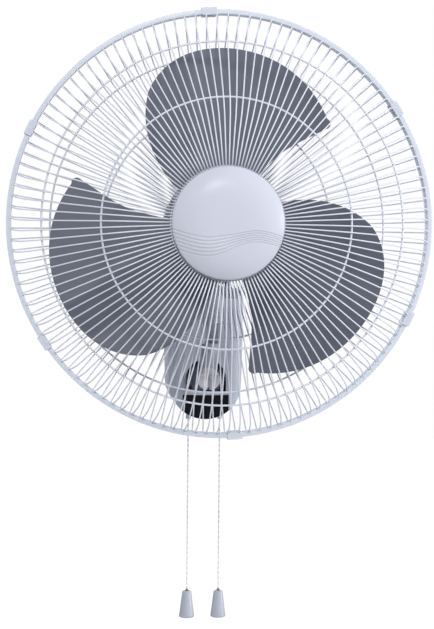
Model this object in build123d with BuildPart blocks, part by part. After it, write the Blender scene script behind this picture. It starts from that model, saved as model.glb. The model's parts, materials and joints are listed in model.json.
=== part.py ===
"""Wall fan: a 440 mm wire cage on a tilting neck, a wall base and two pull cords.

The room frame has X to the right, Y into the wall and Z up. The origin is the middle of the
wall screws, on the wall's surface, and the fan stands out from the wall along -Y.
"""

import os
from math import acos, atan2, cos, degrees, hypot, pi, radians, sin

from build123d import *

os.makedirs("parts", exist_ok=True)

# ---- driving dimensions, in millimetres and degrees ----

# where the axes lie
hub_height = 130.0  # fan axis above the wall screws
swing_depth = 135.0  # wall to the upright swing axis
hoop_depth = swing_depth + 105.0  # wall to the cage's parting plane
tilt_depth = 66.0  # wall to the level tilt axis
tilt_drop = 44.0  # tilt axis below the wall screws
swing_range = 40.0  # swing to each side
seat_gap = 0.3  # between pieces that seat on each other
running_gap = 0.05  # radial, between a shaft and its bore

# wall plate
plate_width = 58.0
plate_height = 94.0
plate_thick = 1.6
plate_corner = 6.0
screw_span_x = 40.0
screw_span_z = 72.0
wall_screw_hole = 2.6
hook_half = 13.0  # hooks left and right of the middle
hook_width = 12.0
hook_height = 12.0  # hook's web above the wall screws
hook_lip = 11.0

# base
base_depth = 82.0
base_radius = 42.0  # round lower end
sump_drop = 48.0  # its centre below the wall screws
base_top = 63.0
base_top_half = 45.0
base_top_corner = 16.0
shoulder_radius = 20.0  # rounded front edges at left and right
brow_radius = 24.0  # rounded front edge at the top
base_wall = 3.0
hollow_ease = 0.7  # bevels of the hollow as a share of the outside's radii
rim_gap = 0.5  # rim of the housing to the wall
back_depth = 6.0  # wall to the back cover
back_thick = 2.5
window_radius = 23.5  # arched window round the knuckle
window_sill = 13.6  # sill below the tilt axis
trim_half = 26.5  # black lower trim
trim_thick = 1.5
trim_step = 4.4  # its top edge below the window's sill
post_radius = 4.0
post_high = 50.0
post_low = 74.0  # below the wall screws
back_screw_radius = 1.5
back_screw_length = 14.0
gland_radius = 5.0  # mains inlet in the underside
gland_depth = 18.0
gland_wall = 1.6
gland_lip = 1.5
gland_stub = 2.4  # its length above the inside of the wall

# tilt knuckle
drum_radius = 18.0
drum_half = 15.45
drum_groove = 3.0
drum_groove_depth = 4.0
cheek_thick = 2.5
cheek_radius = 14.0
bracket_rise = 24.0
bolt_radius = 4.0
bolt_head = 7.5
bolt_head_thick = 4.0

# neck arm
leg_half = 7.0  # lower leg, through the window
leg_radius = 7.5
knee_depth = swing_depth - 25.0
knee_drop = 41.0
knee_radius = 12.5
shin_half = 9.0  # upper leg
shin_radius = 9.5
shin_depth = swing_depth - 11.0  # where the arm meets the boss
shin_height = 30.0
boss_radius = 15.0
boss_wall = 3.0
boss_low = 26.0
boss_high = 64.0
spindle_radius = 5.5
spindle_tail = 5.0  # below the boss
clip_ring_width = 4.0
clip_ring_thick = 1.5
bush_wall = 2.45
bush_flange = 11.5
bush_flange_thick = 2.0

# swing drive under the motor
crank_back = 45.0  # crank axis behind the swing axis
anchor_out = 18.0  # link anchor beside the swing axis
link_half = 4.2
link_thick = 2.7
link_pin_radius = 2.5
crank_disc = 15.0
crank_thick = 3.5
swing_can_radius = 15.0
swing_can_height = 16.0
swing_can_gap = 9.5  # between the crank and the can
hub_disc_radius = 8.0
cradle_half = 14.0
cradle_disc = 20.0
cradle_plate = 4.0
cradle_rise = 6.0  # its arms above the underside of the shell
cradle_behind = 18.0  # its ends behind and in front of the swing axis
cradle_ahead = 10.5

# motor
motor_radius = 52.0
motor_face = hoop_depth - 49.5  # wall to the motor's front face
motor_joint = swing_depth + 13.0  # wall to the joint of the two shells
shell_wall = 2.5
shell_face = 3.0
rear_shell_back = swing_depth - 27.0
rear_shell_radius = motor_radius - 2.7
cover_back = swing_depth - 67.0
cover_bevel = 8.0
cover_slots = 8
cover_slot_length = 15.0
cover_slot_width = 2.4
collar_radius = 17.0
collar_length = 14.0
shaft_radius = 4.0
bearing_radius = 8.0
bearing_length = 14.0
bearing_boss_wall = 4.0
stator_radius = 46.5
stator_bore = 28.5
stator_length = 30.0
stator_middle = swing_depth + 11.0
air_gap = 0.4
coil_inner = 30.0
coil_outer = 42.0
coil_length = 8.0
coil_lobes = 16  # one for each slot of the core
rotor_overhang = 2.0
shaft_tail = 4.0

# cage
hoop_radius = 221.8  # outside
hoop_band = 5.0  # radial height of the channel
hoop_width = 13.0
hoop_wall = 1.2
wire_count = 120
wire_size = 1.5
ring_size = 2.0
weld_gap = 0.02
rim_lift = 1.0  # the wires' ends from the parting plane
front_turn = 1.0  # the front wires beside the rear ones, in degrees
front_outer_ring = 186.5
front_middle_ring = 127.0
front_plate_lift = 62.0
front_plate_radius = 58.0
front_wire_start = 51.0
rear_outer_ring = 178.0
rear_middle_ring = 121.5
rear_plate_radius = 57.0
rear_wire_start = 48.0
centre_plate_thick = 1.2
clip_count = 6
clip_first = 34.0
clip_length = 15.6
clip_wall = 1.4

# front cap
cap_radius = 56.5
cap_dome = 11.0
cap_rim = 5.0
cap_wall = 2.2
cap_flat = 22.6  # radius of the flat apex
cap_stem = 8.0
stem_tail = 3.0  # its length behind the centre plate

# impeller
hub_radius = 31.0
hub_back = -24.0  # from the parting plane, forwards
hub_front = 24.0
hub_wall = 2.5
hub_bevel = 4.0
hub_boss = 28.0  # length of the bore
blade_count = 3
blade_thick = 2.4
blade_tip = 200.0  # before the outline cuts it
blade_middle = 91.0  # angle of the blade's middle line, in degrees
blade_half_chord = 130.0
blade_lead_lift = -24.0  # the leading edge from the parting plane
blade_middle_lift = -5.0
blade_trail_lift = 30.0
nut_radius = 13.0
nut_length = 13.0
nut_cap = 2.0

# pull cords
cord_half = 18.4  # cords left and right of the middle
cord_depth = 64.0
cord_radius = 1.0
bell_top_drop = 423.2  # below the fan axis
bell_height = 30.7
bell_top_radius = 5.4
bell_foot_radius = 9.05
bell_faces = 16
bell_knot = 3.0
pull_travel = 8.0
bush_radius = 2.9
bush_length = 13.0
switch_width = 16.0
switch_depth = 28.0
switch_height = 32.0
switch_back = 26.0
lever_thick = 3.0
lever_width = 4.0
lever_gap = 0.1  # round the lever in its slot
lever_out = 3.5  # from the switch's inner face
lever_share = 0.45  # of the switch's height that the lever reaches into

# capacitor and terminal block
capacitor_width = 38.0
capacitor_height = 16.0
capacitor_length = 26.0
capacitor_rise = 35.0
block_width = 34.0
block_height = 12.0
block_drop = 6.0
block_depth = 9.0
block_ridge = 4.0
block_ways = 4

# ---- planes and axes made from them ----

fan = Plane(origin=(0, -hoop_depth, hub_height), x_dir=(1, 0, 0), z_dir=(0, -1, 0))
fan_section = Plane(origin=fan.origin, x_dir=(1, 0, 0), z_dir=(0, 0, -1))
fan_axis = Axis(fan.origin, (0, -1, 0))
tilt_centre = (-tilt_depth, -tilt_drop)  # in the side view, Plane.YZ
sides = (-1, 1)


def from_wall(depth):
    """The plane at a depth from the wall, drawn as seen from the room."""
    return Plane.XZ.offset(depth)


def at_height(height):
    """The level plane at a height, drawn as seen from above."""
    return Plane.XY.offset(height)


def along_fan(depth):
    """The plane square to the fan axis at a depth from the wall."""
    return fan.offset(depth - hoop_depth)


# ---- wall plate: pressed steel, with two hooks that carry the base ----

hook_reach = back_depth + back_thick + seat_gap + plate_thick

with BuildPart() as wall_plate:
    with BuildSketch(from_wall(0)):
        RectangleRounded(plate_width, plate_height, plate_corner)
        with GridLocations(screw_span_x, screw_span_z, 2, 2):
            Circle(wall_screw_hole, mode=Mode.SUBTRACT)
    extrude(amount=plate_thick)
    with BuildSketch(from_wall(0)):
        with Locations((-hook_half, hook_height), (hook_half, hook_height)):
            Rectangle(hook_width, plate_thick, align=(Align.CENTER, Align.MIN))
    extrude(amount=hook_reach)
    with BuildSketch(from_wall(hook_reach - plate_thick)):
        with Locations((-hook_half, hook_height), (hook_half, hook_height)):
            Rectangle(hook_width, hook_lip, align=(Align.CENTER, Align.MIN))
    extrude(amount=plate_thick)
wall_plate.part.label = "wall_plate"
export_step(wall_plate.part, "parts/wall_plate.step")

# ---- base: a tapered shell with a round lower end and rounded front edges ----


def base_outline(inset):
    """The base seen from the front, drawn in all round by inset."""
    corner_x = base_top_half - base_top_corner
    corner_z = base_top - base_top_corner
    with BuildSketch() as outline:
        with Locations((0, -sump_drop)):
            Circle(base_radius - inset)
        with Locations((-corner_x, corner_z), (corner_x, corner_z)):
            Circle(base_top_corner - inset)
        make_hull()
    return outline.sketch


def base_form(inset, back):
    """The base's body from the depth back to its front, drawn in all round by inset.

    The outside has rounded edges and the hollow has bevelled ones.
    """
    front = base_depth - inset
    ease = chamfer if inset else fillet
    share = hollow_ease if inset else 1
    with BuildPart() as form:
        with BuildSketch(from_wall(back)):
            add(base_outline(inset))
        extrude(amount=front - back)
        with BuildSketch(at_height(0)) as plan:
            with Locations((0, base_depth)):
                Rectangle(2 * (base_top_half - inset), front + base_depth, align=(Align.CENTER, Align.MAX))
            ease(plan.vertices().group_by(Axis.Y)[0], share * shoulder_radius)
        extrude(amount=2 * hub_height, both=True, mode=Mode.INTERSECT)
        with BuildSketch(Plane.YZ) as side:
            with Locations((base_depth, base_top - inset)):
                Rectangle(front + base_depth, 4 * base_top, align=(Align.MAX, Align.MAX))
            ease(side.vertices().group_by(Axis.X)[0].sort_by(Axis.Y)[-1], share * brow_radius)
        extrude(amount=2 * base_top_half, both=True, mode=Mode.INTERSECT)
    return form.part


inner_back = back_depth + back_thick
trim_top = -tilt_drop - window_sill - trim_step
post_places = [(0, post_high), (0, -post_low)]
cord_places = [(s * cord_half, -cord_depth) for s in sides]

with BuildPart() as base_posts:
    with BuildSketch(from_wall(inner_back)):
        with Locations(post_places):
            Circle(post_radius)
    extrude(amount=base_depth)
    add(base_form(base_wall / 2, inner_back), mode=Mode.INTERSECT)
    with BuildSketch(from_wall(inner_back)):
        with Locations(post_places):
            Circle(back_screw_radius + running_gap)
    extrude(amount=back_screw_length, mode=Mode.SUBTRACT)

with BuildPart() as base_housing:
    add(base_form(0, rim_gap))
    add(base_form(base_wall, -base_wall), mode=Mode.SUBTRACT)
    add(base_posts.part)
    with BuildSketch(from_wall(base_depth)):
        with Locations((0, -tilt_drop)):
            Circle(window_radius)
            Rectangle(2 * window_radius, window_sill, align=(Align.CENTER, Align.MAX))
    extrude(amount=-2 * base_wall, mode=Mode.SUBTRACT)
    with BuildSketch(from_wall(base_depth)):
        with Locations((0, trim_top + seat_gap)):
            Rectangle(2 * (trim_half + seat_gap), base_depth, align=(Align.CENTER, Align.MAX))
    extrude(amount=-trim_thick, mode=Mode.SUBTRACT)
    with BuildSketch(at_height(-sump_drop - base_radius)):
        with Locations(cord_places):
            Circle(bush_radius + seat_gap / 3)
        with Locations((0, -gland_depth)):
            Circle(gland_radius)
    extrude(amount=base_radius / 2, mode=Mode.SUBTRACT)
base_housing.part.label = "base_housing"
export_step(base_housing.part, "parts/base_housing.step")

slot_height = hook_lip + 2 * seat_gap

with BuildPart() as base_back:
    with BuildSketch(from_wall(back_depth)):
        add(base_outline(base_wall + seat_gap))
        with Locations(post_places):
            Circle(back_screw_radius + seat_gap, mode=Mode.SUBTRACT)
        with Locations([(s * hook_half, hook_height + plate_thick + seat_gap) for s in sides]):
            Rectangle(
                hook_width + 2 * seat_gap, slot_height, align=(Align.CENTER, Align.MAX), mode=Mode.SUBTRACT
            )
    extrude(amount=back_thick)
base_back.part.label = "base_back"
export_step(base_back.part, "parts/base_back.step")

with BuildPart() as back_screws:
    with BuildSketch(from_wall(back_depth - back_screw_radius)):
        with Locations(post_places):
            RegularPolygon(2 * back_screw_radius, 12)
    extrude(amount=back_screw_radius)
    with BuildSketch(from_wall(back_depth)):
        with Locations(post_places):
            Circle(back_screw_radius)
    extrude(amount=back_screw_length)
back_screws.part.label = "back_screws"
export_step(back_screws.part, "parts/back_screws.step")

with BuildPart() as lower_trim:
    with BuildSketch(from_wall(base_depth - trim_thick)):
        add(base_outline(seat_gap))
        with Locations((0, trim_top)):
            Rectangle(
                2 * trim_half, 2 * base_radius, align=(Align.CENTER, Align.MAX), mode=Mode.INTERSECT
            )
    extrude(amount=trim_thick)
lower_trim.part.label = "lower_trim"
export_step(lower_trim.part, "parts/lower_trim.step")

bush_low = -sump_drop - base_radius - 1

with BuildPart() as cord_bushes:
    with BuildSketch(at_height(bush_low)):
        with Locations(cord_places):
            Circle(bush_radius)
    extrude(amount=bush_length)
    with BuildSketch(at_height(bush_low)):
        with Locations(cord_places):
            Circle(cord_radius + seat_gap)
    extrude(amount=bush_length, mode=Mode.SUBTRACT)
cord_bushes.part.label = "cord_bushes"
export_step(cord_bushes.part, "parts/cord_bushes.step")

gland_low = -sump_drop - base_radius
gland_outer = gland_radius - seat_gap

with BuildPart() as mains_gland:
    with BuildSketch(Plane(origin=(0, -gland_depth, gland_low), x_dir=(1, 0, 0), z_dir=(0, -1, 0))):
        with BuildLine():
            Polyline(
                (gland_outer - gland_wall, -gland_lip),
                (gland_radius + gland_lip, -gland_lip),
                (gland_radius + gland_lip, -seat_gap),
                (gland_outer, -seat_gap),
                (gland_outer, base_wall + gland_stub),
                (gland_outer - gland_wall, base_wall + gland_stub),
                close=True,
            )
        make_face()
    revolve(axis=Axis((0, -gland_depth, 0), (0, 0, 1)))
mains_gland.part.label = "mains_gland"
export_step(mains_gland.part, "parts/mains_gland.step")

# ---- tilt knuckle: a steel channel on the back cover, with the bolt through the drum ----

cheek_inner = drum_half + seat_gap
cheek_outer = cheek_inner + cheek_thick

with BuildPart() as tilt_bracket:
    with BuildSketch(Plane.YZ) as cheek:
        with Locations(tilt_centre):
            Circle(cheek_radius)
        with Locations((-inner_back, -tilt_drop)):
            Rectangle(cheek_thick, 2 * bracket_rise, align=(Align.MAX, Align.CENTER))
        make_hull()
    extrude(amount=cheek_outer, both=True)
    with BuildSketch(Plane.YZ):
        with Locations((-inner_back - cheek_thick, -tilt_drop)):
            Rectangle(base_depth, 3 * bracket_rise, align=(Align.MAX, Align.CENTER))
    extrude(amount=cheek_inner, both=True, mode=Mode.SUBTRACT)
    with BuildSketch(Plane.YZ):
        with Locations(tilt_centre):
            Circle(bolt_radius + running_gap)
    extrude(amount=cheek_outer, both=True, mode=Mode.SUBTRACT)
tilt_bracket.part.label = "tilt_bracket"
export_step(tilt_bracket.part, "parts/tilt_bracket.step")

bolt_end = cheek_outer + bolt_head_thick + 2.5

with BuildPart() as tilt_bolt:
    with BuildSketch(Plane.YZ.offset(-cheek_outer - bolt_head_thick)):
        with Locations(tilt_centre):
            RegularPolygon(bolt_head, 6)
    extrude(amount=bolt_head_thick)
    with BuildSketch(Plane.YZ.offset(-cheek_outer)):
        with Locations(tilt_centre):
            Circle(bolt_radius)
    extrude(amount=cheek_outer + bolt_end)
tilt_bolt.part.label = "tilt_bolt"
export_step(tilt_bolt.part, "parts/tilt_bolt.step")

with BuildPart() as tilt_nut:
    with BuildSketch(Plane.YZ.offset(cheek_outer)):
        with Locations(tilt_centre):
            RegularPolygon(bolt_head, 6)
            Circle(bolt_radius + running_gap, mode=Mode.SUBTRACT)
    extrude(amount=bolt_head_thick)
tilt_nut.part.label = "tilt_nut"
export_step(tilt_nut.part, "parts/tilt_nut.step")

# ---- neck: a cast arm from the drum, round a knee, up to the boss of the swing spindle ----

bush_outer = spindle_radius + running_gap + bush_wall
anchor_radius = link_pin_radius + bush_wall
anchor_high = boss_high + bush_flange_thick + 2 * seat_gap
link_low = anchor_high + seat_gap
knee = (-knee_depth, -knee_drop)
shin_top = (-shin_depth, shin_height)


def round_bar(start, end, radius):
    """A straight bar with round ends, in the side view."""
    with BuildSketch() as bar:
        with Locations(start, end):
            Circle(radius)
        make_hull()
    return bar.sketch


with BuildPart() as knee_knuckle:
    with BuildSketch(Plane.YZ):
        with Locations(knee):
            Circle(knee_radius)
    extrude(amount=knee_radius, both=True)
    with BuildSketch(from_wall(knee_depth)):
        with Locations((0, -knee_drop)):
            Circle(knee_radius)
    extrude(amount=knee_radius, both=True, mode=Mode.INTERSECT)
    with BuildSketch(Plane.YZ):
        with Locations(knee):
            Circle(knee_radius)
            Circle(knee_radius - drum_groove_depth, mode=Mode.SUBTRACT)
    extrude(amount=drum_groove / 2, both=True, mode=Mode.SUBTRACT)

with BuildPart() as neck_arm:
    with BuildSketch(Plane.YZ):
        with Locations(tilt_centre):
            Circle(drum_radius)
    extrude(amount=drum_half, both=True)
    with BuildSketch(Plane.YZ):
        with Locations(tilt_centre):
            Circle(drum_radius)
            Circle(drum_radius - drum_groove_depth, mode=Mode.SUBTRACT)
    extrude(amount=drum_groove / 2, both=True, mode=Mode.SUBTRACT)
    with BuildSketch(Plane.YZ):
        add(round_bar(tilt_centre, knee, leg_radius))
    extrude(amount=leg_half, both=True)
    with BuildSketch(Plane.YZ):
        add(round_bar(knee, shin_top, shin_radius))
    extrude(amount=shin_half, both=True)
    add(knee_knuckle.part)
    with BuildSketch(at_height(boss_low)):
        with Locations((0, -swing_depth)):
            Circle(boss_radius)
    extrude(amount=boss_high - boss_low)
    with BuildSketch(at_height(boss_high - 2 * anchor_radius)):
        with Locations((0, -swing_depth), (anchor_out, -swing_depth)):
            Circle(anchor_radius)
        make_hull()
    extrude(amount=2 * anchor_radius)
    with BuildSketch(at_height(boss_high)):
        with Locations((anchor_out, -swing_depth)):
            Circle(anchor_radius)
    extrude(amount=anchor_high - boss_high)
    with BuildSketch(at_height(0)):
        with Locations((0, -swing_depth)):
            Circle(boss_radius - boss_wall)
    extrude(amount=boss_low, mode=Mode.SUBTRACT)
    with BuildSketch(at_height(boss_low)):
        with Locations((0, -swing_depth)):
            Circle(bush_outer + running_gap)
    extrude(amount=boss_high, mode=Mode.SUBTRACT)
    with BuildSketch(at_height(anchor_high - 2 * anchor_radius)):
        with Locations((anchor_out, -swing_depth)):
            Circle(link_pin_radius + running_gap)
    extrude(amount=boss_high, mode=Mode.SUBTRACT)
    with BuildSketch(Plane.YZ):
        with Locations(tilt_centre):
            Circle(bolt_radius + running_gap)
    extrude(amount=cheek_outer, both=True, mode=Mode.SUBTRACT)
neck_arm.part.label = "neck_arm"
export_step(neck_arm.part, "parts/neck_arm.step")

with BuildPart() as neck_bush:
    with BuildSketch(at_height(boss_low)):
        with Locations((0, -swing_depth)):
            Circle(bush_outer)
    extrude(amount=boss_high - boss_low)
    with BuildSketch(at_height(boss_high)):
        with Locations((0, -swing_depth)):
            Circle(bush_flange)
    extrude(amount=bush_flange_thick)
    with BuildSketch(at_height(boss_low)):
        with Locations((0, -swing_depth)):
            Circle(spindle_radius + running_gap)
    extrude(amount=boss_high, mode=Mode.SUBTRACT)
neck_bush.part.label = "neck_bush"
export_step(neck_bush.part, "parts/neck_bush.step")

with BuildPart() as link_pin:
    with BuildSketch(at_height(anchor_high - 2 * anchor_radius)):
        with Locations((anchor_out, -swing_depth)):
            Circle(link_pin_radius)
    extrude(amount=2 * anchor_radius + seat_gap + link_thick + seat_gap / 2)
link_pin.part.label = "link_pin"
export_step(link_pin.part, "parts/link_pin.step")

# ---- swing drive: crank and link that turn the head from side to side ----

# At each end of the swing the crank and the link lie in one line, which gives their lengths.
near = hypot(
    anchor_out - crank_back * sin(radians(swing_range)), crank_back * cos(radians(swing_range))
)
far = hypot(
    anchor_out + crank_back * sin(radians(swing_range)), crank_back * cos(radians(swing_range))
)
crank_radius = (far - near) / 2
link_length = (far + near) / 2
anchor_to_crank = hypot(anchor_out, crank_back)
crank_turn = pi + atan2(crank_back, -anchor_out) + acos(
    (crank_radius**2 + anchor_to_crank**2 - link_length**2) / (2 * crank_radius * anchor_to_crank)
)
crank_centre = (0, -swing_depth + crank_back)
crank_pin = (crank_radius * cos(crank_turn), crank_centre[1] + crank_radius * sin(crank_turn))

crank_low = link_low + link_thick + seat_gap + crank_thick
can_low = crank_low + crank_thick + swing_can_gap

with BuildPart() as swing_link:
    with BuildSketch(at_height(link_low)):
        with Locations((anchor_out, -swing_depth), crank_pin):
            Circle(link_half)
        make_hull()
        with Locations((anchor_out, -swing_depth), crank_pin):
            Circle(link_pin_radius + running_gap, mode=Mode.SUBTRACT)
    extrude(amount=link_thick)
swing_link.part.label = "swing_link"
export_step(swing_link.part, "parts/swing_link.step")

with BuildPart() as swing_crank:
    with BuildSketch(at_height(crank_low)):
        with Locations(crank_centre):
            Circle(crank_disc)
    extrude(amount=crank_thick)
    with BuildSketch(at_height(crank_low - crank_thick)):
        with Locations(crank_pin):
            Circle(link_pin_radius)
    extrude(amount=crank_thick)
    with BuildSketch(at_height(crank_low)):
        with Locations(crank_centre):
            Circle(link_pin_radius)
    extrude(amount=can_low - crank_low + swing_can_height / 2)
swing_crank.part.label = "swing_crank"
export_step(swing_crank.part, "parts/swing_crank.step")

with BuildPart() as swing_motor:
    with BuildSketch(at_height(can_low)):
        with Locations(crank_centre):
            Circle(swing_can_radius)
    extrude(amount=swing_can_height)
    with BuildSketch(at_height(can_low)):
        with Locations(crank_centre):
            Circle(link_pin_radius + running_gap)
    extrude(amount=swing_can_height / 2 + seat_gap, mode=Mode.SUBTRACT)
swing_motor.part.label = "swing_motor"
export_step(swing_motor.part, "parts/swing_motor.step")

# ---- motor: two shells, a rear cover, stator, coils and bearings ----

cradle_low = link_low + link_thick + 2 * seat_gap
hub_disc_low = boss_high + bush_flange_thick + seat_gap
cradle_back = swing_depth - cradle_behind
cradle_front = swing_depth + cradle_ahead

with BuildPart() as swing_bracket:
    with BuildSketch(at_height(boss_low - spindle_tail)):
        with Locations((0, -swing_depth)):
            Circle(spindle_radius)
    extrude(amount=cradle_low - boss_low + spindle_tail)
    with BuildSketch(at_height(hub_disc_low)):
        with Locations((0, -swing_depth)):
            Circle(hub_disc_radius)
    extrude(amount=cradle_low - hub_disc_low)
    with BuildSketch(at_height(cradle_low)):
        with Locations((0, -swing_depth)):
            Circle(cradle_disc)
        with Locations((0, -cradle_front)):
            Rectangle(
                2 * cradle_half, 2 * cradle_disc, align=(Align.CENTER, Align.MIN), mode=Mode.INTERSECT
            )
    extrude(amount=cradle_plate)
    with BuildSketch(at_height(cradle_low)):
        with Locations((0, -cradle_back)):
            Rectangle(2 * cradle_half, cradle_front - cradle_back, align=(Align.CENTER, Align.MAX))
    extrude(amount=hub_height - cradle_low - rear_shell_radius + cradle_rise)
    with BuildSketch(along_fan(cradle_back)):
        Circle(rear_shell_radius + seat_gap)
    extrude(amount=cradle_front - cradle_back, mode=Mode.SUBTRACT)
swing_bracket.part.label = "swing_bracket"
export_step(swing_bracket.part, "parts/swing_bracket.step")

with BuildPart() as spindle_clip:
    with BuildSketch(at_height(boss_low - seat_gap)):
        with Locations((0, -swing_depth)):
            Circle(spindle_radius + clip_ring_width)
            Circle(spindle_radius + running_gap, mode=Mode.SUBTRACT)
    extrude(amount=-clip_ring_thick)
spindle_clip.part.label = "spindle_clip"
export_step(spindle_clip.part, "parts/spindle_clip.step")

bearing_seat = bearing_radius + running_gap

with BuildPart() as motor_front_shell:
    with BuildSketch(along_fan(motor_joint)):
        Circle(motor_radius)
    extrude(amount=motor_face - motor_joint)
    with BuildSketch(along_fan(motor_joint)):
        Circle(motor_radius - shell_wall)
    extrude(amount=motor_face - motor_joint - shell_face, mode=Mode.SUBTRACT)
    with BuildSketch(along_fan(motor_face - bearing_length)):
        Circle(collar_radius)
    extrude(amount=bearing_length + collar_length)
    with BuildSketch(along_fan(motor_face - bearing_length)):
        Circle(bearing_seat)
    extrude(amount=bearing_length + collar_length, mode=Mode.SUBTRACT)
motor_front_shell.part.label = "motor_front_shell"
export_step(motor_front_shell.part, "parts/motor_front_shell.step")

with BuildPart() as motor_rear_shell:
    with BuildSketch(along_fan(rear_shell_back)):
        Circle(rear_shell_radius)
    extrude(amount=motor_joint - rear_shell_back)
    with BuildSketch(along_fan(rear_shell_back + shell_face)):
        Circle(rear_shell_radius - shell_wall)
    extrude(amount=motor_joint - rear_shell_back, mode=Mode.SUBTRACT)
    with BuildSketch(along_fan(rear_shell_back)):
        Circle(bearing_radius + bearing_boss_wall)
    extrude(amount=bearing_length)
    with BuildSketch(along_fan(rear_shell_back)):
        Circle(bearing_seat)
    extrude(amount=motor_joint, mode=Mode.SUBTRACT)
motor_rear_shell.part.label = "motor_rear_shell"
export_step(motor_rear_shell.part, "parts/motor_rear_shell.step")

cover_inner = rear_shell_radius + seat_gap
cover_front = motor_joint - seat_gap

with BuildPart() as motor_cover:
    with BuildSketch(fan_section) as cover_profile:
        with Locations((0, cover_back - hoop_depth)):
            Rectangle(motor_radius, cover_front - cover_back, align=(Align.MIN, Align.MIN))
        chamfer(cover_profile.vertices().group_by(Axis.Y)[0].sort_by(Axis.X)[-1], cover_bevel)
    revolve(axis=fan_axis)
    with BuildSketch(fan_section) as cover_hollow:
        with Locations((0, cover_back - hoop_depth + shell_wall)):
            Rectangle(cover_inner, cover_front - cover_back, align=(Align.MIN, Align.MIN))
        chamfer(cover_hollow.vertices().group_by(Axis.Y)[0].sort_by(Axis.X)[-1], cover_bevel - 1)
    revolve(axis=fan_axis, mode=Mode.SUBTRACT)
    with BuildSketch(along_fan(cover_back)):
        with PolarLocations(motor_radius / 2, cover_slots):
            Rectangle(cover_slot_length, cover_slot_width)
    extrude(amount=2 * shell_wall, mode=Mode.SUBTRACT)
    with BuildSketch(at_height(cradle_low)):
        with Locations((0, -cradle_back + seat_gap)):
            Rectangle(
                2 * (cradle_half + seat_gap), motor_joint - cradle_back, align=(Align.CENTER, Align.MAX)
            )
        with Locations(crank_centre):
            Circle(link_pin_radius + 5 * seat_gap)
    extrude(amount=hub_height - cradle_low - rear_shell_radius / 2, mode=Mode.SUBTRACT)
motor_cover.part.label = "motor_cover"
export_step(motor_cover.part, "parts/motor_cover.step")

stator_back = stator_middle - stator_length / 2

with BuildPart() as stator_core:
    with BuildSketch(along_fan(stator_back)):
        Circle(stator_radius)
        Circle(stator_bore, mode=Mode.SUBTRACT)
    extrude(amount=stator_length)
stator_core.part.label = "stator_core"
export_step(stator_core.part, "parts/stator_core.step")

with BuildPart() as stator_coils:
    with BuildSketch(along_fan(stator_back - coil_length), along_fan(stator_back + stator_length)):
        RegularPolygon(coil_outer, coil_lobes)
        RegularPolygon(coil_inner, coil_lobes, major_radius=False, mode=Mode.SUBTRACT)
    extrude(amount=coil_length)
stator_coils.part.label = "stator_coils"
export_step(stator_coils.part, "parts/stator_coils.step")


def sleeve(depth, outer, inner, length):
    """A plain round sleeve on the fan axis, from a depth forwards."""
    with BuildPart() as tube:
        with BuildSketch(along_fan(depth)):
            Circle(outer)
            Circle(inner, mode=Mode.SUBTRACT)
        extrude(amount=length)
    return tube


front_bearing = sleeve(
    motor_face - bearing_length + shell_face, bearing_radius, shaft_radius + running_gap, bearing_length
)
front_bearing.part.label = "front_bearing"
export_step(front_bearing.part, "parts/front_bearing.step")

rear_bearing = sleeve(rear_shell_back, bearing_radius, shaft_radius + running_gap, bearing_length)
rear_bearing.part.label = "rear_bearing"
export_step(rear_bearing.part, "parts/rear_bearing.step")

# ---- rotor: core, shaft, the blade moulding and its nut ----

shaft_end = hoop_depth + hub_front + nut_length - nut_cap - seat_gap

with BuildPart() as rotor_core:
    with BuildSketch(along_fan(stator_back - rotor_overhang)):
        Circle(stator_bore - air_gap)
        Circle(shaft_radius + running_gap / 5, mode=Mode.SUBTRACT)
    extrude(amount=stator_length + 2 * rotor_overhang)
rotor_core.part.label = "rotor_core"
export_step(rotor_core.part, "parts/rotor_core.step")

with BuildPart() as motor_shaft:
    with BuildSketch(along_fan(rear_shell_back - shaft_tail)):
        Circle(shaft_radius)
    extrude(amount=shaft_end - rear_shell_back + shaft_tail)
motor_shaft.part.label = "motor_shaft"
export_step(motor_shaft.part, "parts/motor_shaft.step")

# The blade's front outline as radius and angle, from the root of the leading edge outwards.
leading_edge = [(24, 68), (64.3, 53), (100.2, 49.9), (132, 45), (153, 42.4)]
leading_corner = (158.5, 42.4)
tip_edge = [(161, 45), (172, 56), (178.1, 64.3), (183.7, 86.7), (177, 105.2), (156.3, 119.7)]
trailing_edge = [(156.3, 119.7), (114.3, 132.1), (76.4, 139.9), (56.6, 143), (24, 150)]


def polar_point(radius, angle):
    """A point in the front view from its radius and angle."""
    return (radius * cos(radians(angle)), radius * sin(radians(angle)))


with BuildPart() as one_blade:
    chord = Plane(
        origin=(0, 0, 0), x_dir=(*polar_point(1, blade_middle + 90), 0), z_dir=(*polar_point(1, blade_middle), 0)
    )
    with BuildSketch(chord):
        with BuildLine():
            camber = ThreePointArc(
                (-blade_half_chord, blade_lead_lift), (0, blade_middle_lift), (blade_half_chord, blade_trail_lift)
            )
        trace(camber, blade_thick)
    extrude(amount=blade_tip)
    with BuildSketch(Plane.XY.offset(2 * hub_back)):
        with BuildLine():
            leading = Spline(*[polar_point(*place) for place in leading_edge])
            tip = Spline(*[polar_point(*place) for place in tip_edge])
            ThreePointArc(leading @ 1, polar_point(*leading_corner), tip @ 0)
            trailing = Spline(*[polar_point(*place) for place in trailing_edge])
            Line(trailing @ 1, leading @ 0)
        make_face()
    extrude(amount=4 * hub_front, mode=Mode.INTERSECT)

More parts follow.
